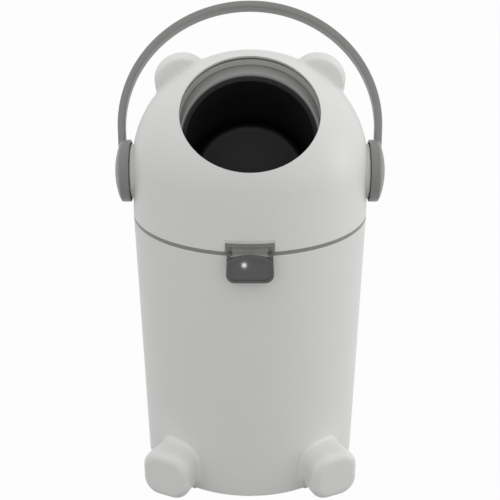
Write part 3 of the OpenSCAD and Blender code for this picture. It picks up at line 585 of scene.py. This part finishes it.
pick(drum_front)
bpy.ops.object.duplicate()
drum_rear = name_it("drum_rear_shell")
place(drum_front, up_bore)
place(drum_rear, up_bore @ Matrix.Rotation(math.pi, 4, "X"))
for shell, node in ((drum_front, "drum_front"), (drum_rear, "drum_rear")):
    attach(shell, "drum")
    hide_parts(node)

# ---- Mouth seal ----
# A grey wiper ring between the dome's edge and the drum. At the top, where the drum's front leans back
# from the opening, its face slopes inwards as a crescent.

seal_clear = 0.3
seal_out = opening_r + 5.4
# The cutter leans by the rate times each end's distance from where it meets the opening's edge
slope_rate = 0.716
slope_inner, slope_outer = 21.2, 8.8
# Matt grey elastomer, moulded to the ring
grey_rubber = moulded("elastomer_grey_matt", "#acacaa", "#b0b0ae", 0.5, 0.8, 0.005)
seal_ball = drum_r + seal_clear
seal = turned("mouth_seal_ring", [(r, math.sqrt(seal_ball ** 2 - r ** 2)) for r in (70, 73, 76, 79, seal_out)]
              + [(seal_out, 125), (70, 125), (70, math.sqrt(seal_ball ** 2 - 70 ** 2))], 256)
slope = turned("slope", [(0, 95), (opening_r + 0.1, 95), (opening_r + 0.1, 125), (0, 125)], 256)
edges_where(slope, lambda p: p.z < 100)
bpy.ops.transform.translate(value=(0, -slope_rate * slope_inner * mm, 0))
bpy.ops.object.mode_set(mode="OBJECT")
edges_where(slope, lambda p: p.z > 120)
bpy.ops.transform.translate(value=(0, slope_rate * slope_outer * mm, 0))
bpy.ops.object.mode_set(mode="OBJECT")
straight_r = opening_r + 0.8
combine(slope, turned("straight", [(0, 90), (straight_r, 90), (straight_r, 130), (0, 130)], 256),
        "INTERSECT")
combine(seal, slope)
place(seal, Matrix.Translation((0, 0, pivot_z * mm)) @ Matrix.Rotation(math.pi / 2 - opening_tilt, 4, "X"))
combine(seal, turned("under_dome", dome_outline(lid_wall + 0.3, 20, 1), 256), "INTERSECT")
seam = turned("seam", [(0, 60), (opening_r + 3.4, 60), (opening_r + 3.4, 130), (0, 130)], 256)
place(seam, Matrix.Translation((0, 0, pivot_z * mm)) @ Matrix.Rotation(math.pi / 2 - opening_tilt, 4, "X"))
combine(seam, turned("under_seam", dome_outline(lid_wall + 1.9, 20, 1), 256))
combine(seal, seam)
soften(seal, 0)
seal.data.materials.clear()
seal.data.materials.append(grey_rubber)
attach(seal, "lid")
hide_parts("mouth_seal")

# ---- Bore liner ----
# A black tube through the drum that the nappies and the piston slide in, smooth inside.

liner_r = mouth_r - 0.1
bore_r = liner_r - 2.4
liner_half = lip_s + lip_r * 0.9
stop_s = liner_half - 8
# Black polypropylene, smooth inside so that nothing clings.
black_plastic = moulded("polypropylene_black_smooth", "#262627", "#29292a", 0.3, 1.4, 0.002)

lining = [(liner_r, liner_half), (liner_r - 0.6, liner_half), (bore_r - 1.6, liner_half - 4.4),
          (bore_r - 1.6, liner_half - 6), (bore_r, stop_s)]
lining += [(r, -s) for r, s in reversed(lining)]
liner = place(turned("bore_liner_tube", lining + [lining[0]], 256), up_bore)
soften(liner, 0)
liner.data.materials.append(black_plastic)
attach(liner, "drum")
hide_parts("bore_liner")

# ---- Piston ----
# A hollow black puck in two halves, dished at both ends, that slides down the bore by its weight.

piston_l = 80.0
piston_r = bore_r - 0.8
piston_edge = 9.0
piston_s = stop_s - piston_l / 2
dish_r = piston_r - piston_edge - 2
dish_depth = 13.0
dish_ball = (dish_r ** 2 + dish_depth ** 2) / (2 * dish_depth)
wiper_s = piston_l / 2 - 14

dish = [(math.sin(t) * dish_ball, piston_l / 2 - dish_depth + dish_ball * (1 - math.cos(t)))
        for t in [math.asin(dish_r / dish_ball) * i / 14 for i in range(15)]]
wall = 4.0
# The same black polypropylene from a matt mould, its colour painted much darker than the liner's black as painted
# shade, so that it stays dark in the bore.
black_matt_painted_shade = moulded("polypropylene_black_matt_painted_shade", "#0c0c0c", "#0f0f0f", 0.5, 1.4, 0.002)
puck = [(piston_r, 0.02), (piston_r, wiper_s - 2), (piston_r - 2, wiper_s - 2), (piston_r - 2, wiper_s + 2),
        (piston_r, wiper_s + 2)] + arc((piston_r - piston_edge, piston_l / 2 - piston_edge), piston_edge, 0, 90)
puck += list(reversed(dish)) + [(0, piston_l / 2 - dish_depth - wall), (dish_r, piston_l / 2 - dish_depth - wall / 2),
                                (piston_r - wall, wiper_s - 3), (piston_r - wall, 0.02), (piston_r, 0.02)]
piston_front = turned("piston_front_shell", puck)
soften(piston_front, 0)
# The piston's face carries the darker black, which is painted shade for the bore.
piston_front.data.materials.append(black_matt_painted_shade)
pick(piston_front)
bpy.ops.object.duplicate()
piston_rear = name_it("piston_rear_shell")
at_piston = up_bore @ Matrix.Translation((0, 0, -piston_s * mm))
place(piston_front, at_piston)
place(piston_rear, at_piston @ Matrix.Rotation(math.pi, 4, "X"))
for shell, node in ((piston_front, "piston_front"), (piston_rear, "piston_rear")):
    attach(shell, "piston")
    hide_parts(node)

# ---- Handle ----
# One grey hoop of soft rectangular section whose legs lean in a little and end in two domed hubs.
# The hubs are keyed to the drum's trunnions, so swinging the handle flips the drum.

hub_r = 37.0
hub_x = 141.6
hub_web_x = hub_x + 3.9
hub_rim_x = hub_x + 11.3
hub_dome = 7.6
hub_ball = (hub_r ** 2 + hub_dome ** 2) / (2 * hub_dome)
cap_r = 24.0
cap_x = hub_rim_x - 0.9
hoop_t, hoop_w = 9.2, 17.0
handle_half = hub_rim_x + 6.6
handle_h = drum_r + 90
leg_lean = math.radians(4)
hoop_mean = handle_half - hoop_t / 2
hoop_z = handle_h - handle_half


def hub_face(radius):
    """How far out the hub's domed face stands at a radius from its middle."""
    return hub_rim_x + hub_dome - hub_ball + math.sqrt(hub_ball ** 2 - radius ** 2)


leg = (hoop_z - hoop_mean * math.sin(leg_lean) - 16) / math.cos(leg_lean)
leg_step = Vector((math.sin(leg_lean), 0, math.cos(leg_lean))) * leg * mm
leg_top = Vector((hoop_mean * math.cos(leg_lean), 0, hoop_z - hoop_mean * math.sin(leg_lean))) * mm
bpy.ops.object.select_all(action="DESELECT")
bpy.ops.mesh.primitive_plane_add(size=1, location=leg_top - leg_step, rotation=(0, leg_lean, 0))
handle = name_it("handle_hoop")
handle.scale = (hoop_t * mm, hoop_w * mm, 1)
bpy.ops.object.transform_apply(location=True, rotation=True, scale=True)
bpy.ops.object.mode_set(mode="EDIT")
bpy.ops.mesh.select_all(action="SELECT")
bpy.ops.mesh.bevel(offset=hoop_t * 0.34 * mm, segments=6, affect="VERTICES")
bpy.ops.mesh.select_all(action="SELECT")
bpy.ops.mesh.extrude_region_move(TRANSFORM_OT_translate={"value": leg_step})
bpy.ops.mesh.spin(steps=128, angle=math.pi + 2 * leg_lean, center=(0, 0, hoop_z * mm), axis=(0, 1, 0))
bpy.ops.mesh.extrude_region_move(
    TRANSFORM_OT_translate={"value": Vector((leg_step.x, 0, -leg_step.z))})
bpy.ops.mesh.select_all(action="SELECT")
bpy.ops.mesh.remove_doubles(threshold=0.01 * mm)
bpy.ops.mesh.normals_make_consistent(inside=False)
bpy.ops.object.mode_set(mode="OBJECT")
hub_outline = [(0, hub_web_x), (hub_r - 3, hub_web_x), (hub_r - 3, hub_x)]
hub_outline += arc((hub_r - 0.8, hub_x + 0.8), 0.8, -90, 0, 3)
hub_outline += arc((hub_r - 2.2, hub_rim_x - 2.0), 2.2, 0, 74, 5)
hub_outline += [(r, hub_face(r)) for r in (33.2, 31, 28.5, 26.5, cap_r + 0.6)]
hub_outline += [(cap_r + 0.1, hub_face(cap_r) - 0.5), (cap_r + 0.1, cap_x), (0, cap_x)]
for side in (-1, 1):
    hub = place(turned("hub", hub_outline, 160), Matrix.Rotation(side * math.pi / 2, 4, "Y"))
    combine(handle, hub, "UNION")
soften(handle, 0)
handle.data.materials.clear()
handle.data.materials.append(grey_plastic)
place(handle, at_drum)
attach(handle, "drum")
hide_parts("handle")

# ---- Hub caps ----
# A snap-in cap in the middle of each hub hides the screw that holds the handle to the trunnion.

cap_outline = [(0, cap_x + 0.05), (cap_r, cap_x + 0.05), (cap_r, hub_face(cap_r) - 0.5),
               (cap_r - 0.15, hub_face(cap_r) - 0.15), (cap_r - 0.5, hub_face(cap_r - 0.5))]
cap_outline += [(r, hub_face(r)) for r in (21, 18, 15, 12, 9, 6, 3, 0)]
for side, node in ((-1, "hub_cap_left"), (1, "hub_cap_right")):
    cap = turned(node + "_disc", cap_outline, 128)
    place(cap, at_drum @ Matrix.Rotation(side * math.pi / 2, 4, "Y"))
    soften(cap, 0)
    cap.data.materials.append(grey_plastic)
    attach(cap, "drum")
    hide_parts(node)

# ---- Pieces kept as they are ----
# The cradle under the drum, the bushes and trunnions, the springy tongue, the seals, wipers and grip
# pads, and the screws and pins need only their finish.

# Matt black rubber, moulded; thermoplastic seals have a dull skin.
rubber = moulded("rubber_seal_matt", "#2c2c2d", "#303031", 0.62, 0.8, 0.006)

# Zinc-plated steel, bright and a little brushed by handling.
steel = bpy.data.materials.new("steel_zinc_plated")
steel.use_nodes = True
steel.node_tree.nodes.clear()
steel_at = add(steel, "ShaderNodeTexCoord").outputs["Object"]
steel_grain = add(steel, "ShaderNodeTexNoise", {"Scale": 1 / (1.5 * mm), "Detail": 2.0}, Vector=steel_at)
steel_shine = add(steel, "ShaderNodeMapRange", {"To Min": 0.22, "To Max": 0.4}, Value=steel_grain.outputs["Fac"])
steel_skin = add(steel, "ShaderNodeBsdfPrincipled", {"Base Color": colour("#c6c8cb"), "Metallic": 1.0},
                 Roughness=steel_shine.outputs["Result"])
add(steel, "ShaderNodeOutputMaterial", Surface=steel_skin.outputs["BSDF"])

finishes = {
    grey_plastic: ("lid_cradle",),
    dark_plastic: ("latch_tongue", "bush_left", "bush_right", "trunnion_left", "trunnion_right"),
    rubber: ("drop_seal", "lid_seal", "grip_pads", "piston_wipers"),
    steel: ("foot_screws", "hinge_pin", "cradle_screws", "latch_pin", "trunnion_screws", "handle_screws"),
}
for finish, names in finishes.items():
    for node in names:
        for held in nodes[node].material_slots:
            held.material = finish

# ---- Studio ----
# A white sweep under an even bright sky, a weak low soft light on the right, and a small lamp low in
# front whose reflection is the bright dot on the latch.

bpy.ops.object.select_all(action="DESELECT")
bpy.ops.mesh.primitive_plane_add(size=8, location=(0, 0, 0))
floor = name_it("studio_floor")
paper = bpy.data.materials.new("paper_white_matt")
paper.use_nodes = True
paper.node_tree.nodes.clear()
seen = add(paper, "ShaderNodeLightPath")
matt = add(paper, "ShaderNodeBsdfDiffuse", {"Color": colour("#aaaaaa")})
lit = add(paper, "ShaderNodeEmission", {"Color": (1, 1, 1, 1), "Strength": 1.0})
plain = add(paper, "ShaderNodeMath", {"operation": "MAXIMUM"})
paper.node_tree.links.new(seen.outputs["Is Camera Ray"], plain.inputs[0])
paper.node_tree.links.new(seen.outputs["Is Glossy Ray"], plain.inputs[1])
through = add(paper, "ShaderNodeMath", {"operation": "MAXIMUM"})
paper.node_tree.links.new(plain.outputs["Value"], through.inputs[0])
paper.node_tree.links.new(seen.outputs["Is Transmission Ray"], through.inputs[1])
fill = add(paper, "ShaderNodeMath", {"operation": "MULTIPLY"})
fill.inputs[1].default_value = 0.97
paper.node_tree.links.new(through.outputs["Value"], fill.inputs[0])
mixed = add(paper, "ShaderNodeMixShader", Fac=fill.outputs["Value"])
paper.node_tree.links.new(matt.outputs["BSDF"], mixed.inputs[1])
paper.node_tree.links.new(lit.outputs["Emission"], mixed.inputs[2])
add(paper, "ShaderNodeOutputMaterial", Surface=mixed.outputs["Shader"])
floor.data.materials.append(paper)

world = bpy.data.worlds.new("studio")
bpy.context.scene.world = world
world.use_nodes = True
world.node_tree.nodes.clear()
ray = add(world, "ShaderNodeLightPath")
direct = add(world, "ShaderNodeMath", {"operation": "MAXIMUM"})
world.node_tree.links.new(ray.outputs["Is Camera Ray"], direct.inputs[0])
world.node_tree.links.new(ray.outputs["Is Glossy Ray"], direct.inputs[1])
backdrop = add(world, "ShaderNodeMath", {"operation": "MAXIMUM"})
world.node_tree.links.new(direct.outputs["Value"], backdrop.inputs[0])
world.node_tree.links.new(ray.outputs["Is Transmission Ray"], backdrop.inputs[1])
# A little brighter overhead than at the sides
upward = add(world, "ShaderNodeSeparateXYZ", Vector=add(world, "ShaderNodeTexCoord").outputs["Generated"])
glow = add(world, "ShaderNodeMapRange", {"To Min": 0.716, "To Max": 0.925}, Value=upward.outputs["Z"])
strength = add(world, "ShaderNodeMix", {"data_type": "FLOAT"}, Factor=backdrop.outputs["Value"])
world.node_tree.links.new(glow.outputs["Result"], strength.inputs[2])
strength.inputs[3].default_value = 1.0
sky = add(world, "ShaderNodeBackground", {"Color": (1, 1, 1, 1)}, Strength=strength.outputs[0])
add(world, "ShaderNodeOutputWorld", Surface=sky.outputs["Background"])


def softbox(name, watts, size, location, aim):
    """A square soft light that points at a place."""
    bpy.ops.object.light_add(type="AREA", location=location)
    lamp = bpy.context.object
    lamp.name = name
    lamp.data.energy, lamp.data.size = watts, size
    lamp.rotation_euler = (Vector(aim) - Vector(location)).to_track_quat("-Z", "Y").to_euler()
    return lamp


softbox("softbox_right", 6.0, 0.8, (1.9, 0.1, 0.4), (0, 0, 0.3))
catchlight = softbox("catchlight", 0.003, 0.0065, (-0.0098, -0.78, 0.0452), (-0.0064, -0.15, 0.315))
catchlight.visible_diffuse = False

camera_data = bpy.data.cameras.new("camera")
camera_data.lens = 82.6
camera_data.sensor_width = 36
camera = bpy.data.objects.new("camera", camera_data)
bpy.context.scene.collection.objects.link(camera)
camera.location = (0, -1.3036, 0.8095)
camera.rotation_euler = (math.radians(67.56), 0, 0)
bpy.context.scene.camera = camera
bpy.context.scene.view_settings.view_transform = "Standard"
